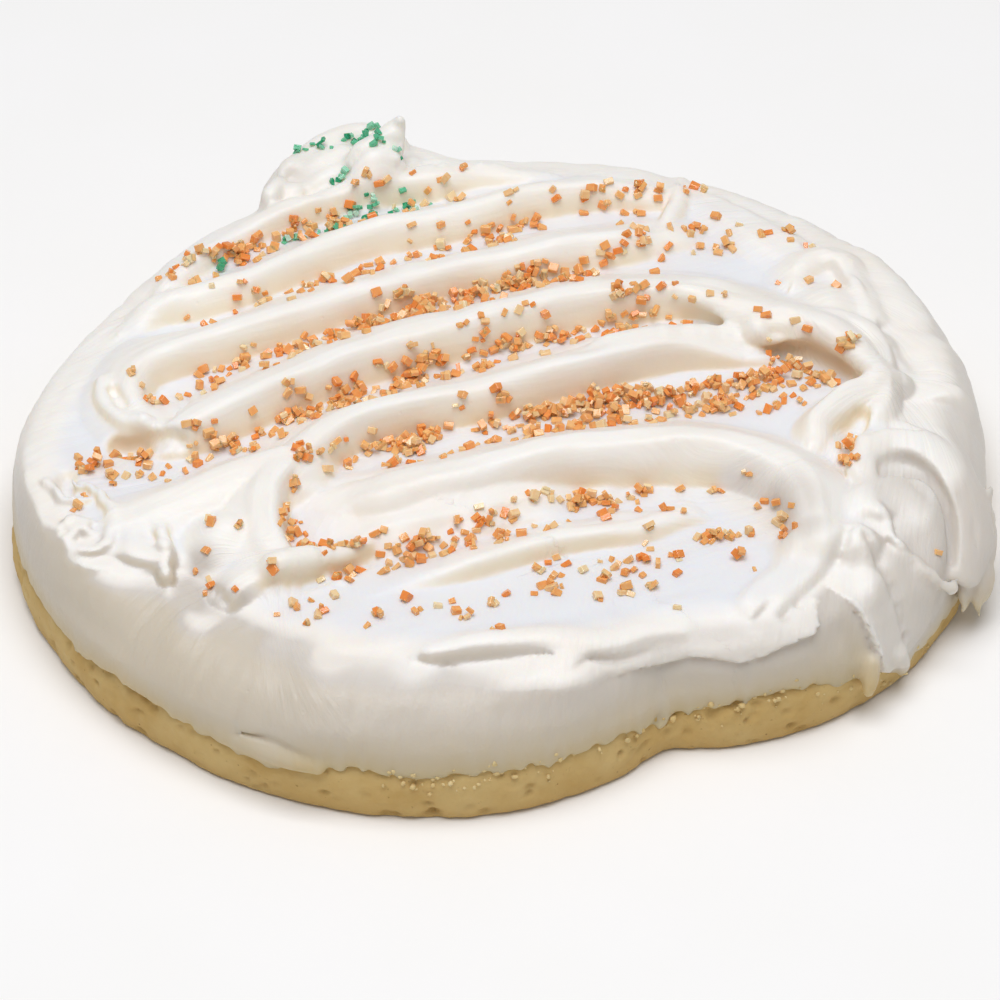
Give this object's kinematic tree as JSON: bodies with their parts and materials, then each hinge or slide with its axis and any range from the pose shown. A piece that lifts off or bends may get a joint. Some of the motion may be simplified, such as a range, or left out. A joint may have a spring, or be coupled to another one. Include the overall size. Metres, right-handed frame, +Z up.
{
  "type": "iced sugar cookie",
  "caption": "Pumpkin-shaped sugar cookie under a thick layer of knife-spread icing with deep ridges and furrows.",
  "frame": {"origin": "on the flat underside, below the middle of the cookie", "axes": "+Z up out of the cookie's face, +Y towards the pumpkin's stem, +X to the right as seen from above"},
  "size_m": [0.0972, 0.0907, 0.0196],
  "materials": {
    "cookie": "baked butter dough, dry and matt, with fine pores and a browner lower edge",
    "icing": "soft white buttercream, satin, spread with a knife, with sugar crystals in its furrows"
  },
  "bodies": {
    "root": {"cookie": "cookie", "icing": "icing"}
  },
  "joints": []
}
